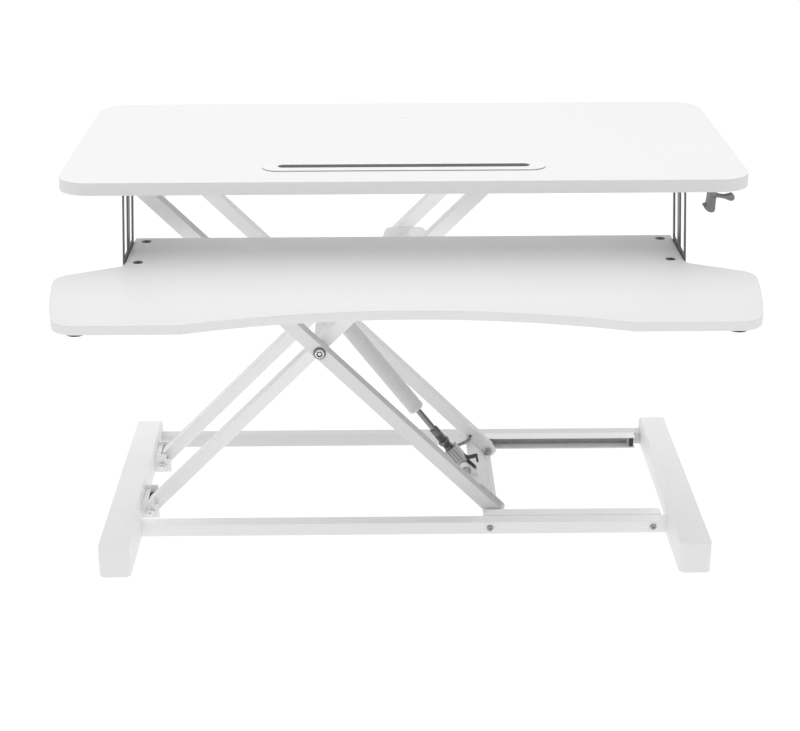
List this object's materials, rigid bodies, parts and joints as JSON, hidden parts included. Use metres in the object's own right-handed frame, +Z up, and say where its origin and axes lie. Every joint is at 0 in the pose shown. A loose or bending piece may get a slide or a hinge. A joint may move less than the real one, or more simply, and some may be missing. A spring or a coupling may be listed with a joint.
{
  "type": "standing desk converter",
  "caption": "Sit-stand desk converter: wide flat top on an X scissor lift with a lockable gas spring, a winged keyboard tray hung below its front edge, and a rail base on two long feet.",
  "frame": {"origin": "on the floor plane the feet stand on, at the middle of the whole outline in X and Y", "axes": "+X to the user's right along the width of the top, +Y to the back, +Z up"},
  "size_m": [0.8, 0.617, 0.5074],
  "materials": {
    "white_board": "white laminated board, matt, with matching edge band",
    "white_paint": "white powder coat",
    "white_plastic": "fine textured white moulding",
    "grey_plastic": "satin grey moulding",
    "dark_steel": "dark plated steel",
    "zinc_steel": "bright zinc plate",
    "black_plastic": "black nylon",
    "rubber": "soft black rubber"
  },
  "bodies": {
    "base": {"foot_left": "white_plastic", "foot_right": "white_plastic", "base_side_rails": "white_paint", "foot_pads": "rubber", "base_rail_front": "white_paint", "base_rail_rear": "white_paint", "base_track_front": "white_paint", "base_track_rear": "white_paint", "rail_screws": "zinc_steel", "base_pivot_bracket_front": "white_paint", "base_pivot_bracket_rear": "white_paint", "base_hardware": "zinc_steel"},
    "b_frame": {"arm_b_front": "white_paint", "arm_b_rear": "white_paint", "b_axles": "zinc_steel", "b_cross_plate": "white_paint", "crank_tube": "white_paint", "crank_screws": "zinc_steel", "centre_bolts": "zinc_steel", "centre_washers": "zinc_steel", "spacer_bushes": "black_plastic"},
    "a_frame": {"arm_a_front": "white_paint", "arm_a_rear": "white_paint", "a_cross_plate": "white_paint", "a_top_tube": "white_paint", "spring_pin": "zinc_steel", "base_axles": "zinc_steel", "cable_arm": "black_plastic"},
    "top": {"desktop_panel": "white_board", "tablet_slot_trim": "grey_plastic", "accessory_hole_cap": "grey_plastic", "keyboard_tray": "white_board", "tray_screws": "dark_steel", "tray_pads": "rubber", "side_bracket_left": "dark_steel", "side_bracket_right": "dark_steel", "side_bracket_screws": "zinc_steel", "top_rail_front": "white_paint", "top_rail_rear": "white_paint", "top_cross_members": "white_paint", "top_track_front": "white_paint", "top_track_rear": "white_paint", "top_pivot_bracket_front": "white_paint", "top_pivot_bracket_rear": "white_paint", "top_pivot_bolts": "zinc_steel", "handle_housing": "grey_plastic", "cable_top": "black_plastic", "cable_clips": "white_plastic"},
    "handle": {"handle_lever": "grey_plastic"},
    "lock": {"piston_rod": "zinc_steel", "lock_sleeve": "dark_steel", "lock_head": "zinc_steel", "release_pin": "zinc_steel"},
    "lock_lever": {"release_lever": "dark_steel"},
    "cylinder": {"gas_cylinder": "white_paint", "cylinder_guide": "dark_steel"},
    "base_roller_f": {"base_roller_front": "black_plastic"},
    "base_roller_r": {"base_roller_rear": "black_plastic"},
    "top_roller_f": {"top_roller_front": "black_plastic"},
    "top_roller_r": {"top_roller_rear": "black_plastic"}
  },
  "joints": [
    {"name": "lift", "type": "hinge", "parent": "base", "child": "b_frame", "pos_m": [-0.3372, 0.15475, 0.0102], "axis": [0, 1, 0], "range_deg": [0, 38.9]},
    {"name": "scissor", "type": "hinge", "parent": "b_frame", "child": "a_frame", "pos_m": [-0.10668, 0.15475, 0.24072], "axis": [0, 1, 0], "range_deg": [-77.81, 0]},
    {"name": "top_level", "type": "hinge", "parent": "a_frame", "child": "top", "pos_m": [-0.3372, 0.15475, 0.47123], "axis": [0, 1, 0], "range_deg": [0, 38.91]},
    {"name": "spring_swing", "type": "hinge", "parent": "a_frame", "child": "lock", "pos_m": [0.08664, 0.1325, 0.03665], "axis": [0, 1, 0], "range_deg": [-3.42, 0]},
    {"name": "spring_stroke", "type": "slide", "parent": "lock", "child": "cylinder", "axis": [0.6099, 0, -0.7925], "range_m": [0, 0.033]},
    {"name": "hand_squeeze", "type": "hinge", "parent": "top", "child": "handle", "pos_m": [0.3588, -0.0735, 0.48], "axis": [0, -1, 0], "range_deg": [0, 12], "stiffness_Nm_per_rad": 0.4, "springref_deg": -5.73},
    {"name": "lock_push", "type": "hinge", "parent": "lock", "child": "lock_lever", "pos_m": [0.08566, 0.1325, 0.05103], "axis": [0, 1, 0], "range_deg": [0, 8]},
    {"name": "base_roll_front", "type": "hinge", "parent": "a_frame", "child": "base_roller_f", "pos_m": [0.12383, 0.0316, 0.0102], "axis": [0, 1, 0], "continuous": true},
    {"name": "base_roll_rear", "type": "hinge", "parent": "a_frame", "child": "base_roller_r", "pos_m": [0.12383, 0.2779, 0.0102], "axis": [0, 1, 0], "continuous": true},
    {"name": "top_roll_front", "type": "hinge", "parent": "b_frame", "child": "top_roller_f", "pos_m": [0.12383, 0.0551, 0.47123], "axis": [0, 1, 0], "continuous": true},
    {"name": "top_roll_rear", "type": "hinge", "parent": "b_frame", "child": "top_roller_r", "pos_m": [0.12383, 0.2544, 0.47123], "axis": [0, 1, 0], "continuous": true}
  ],
  "couplings": [
    {"joint": "scissor", "follows": "lift", "ratio": -2},
    {"joint": "top_level", "follows": "lift", "ratio": 1},
    {"joint": "spring_swing", "follows": "lift", "ratio": -0.0875},
    {"joint": "spring_stroke", "follows": "lift", "m_per_rad": 0.0485},
    {"joint": "lock_push", "follows": "hand_squeeze", "ratio": 0.65}
  ]
}
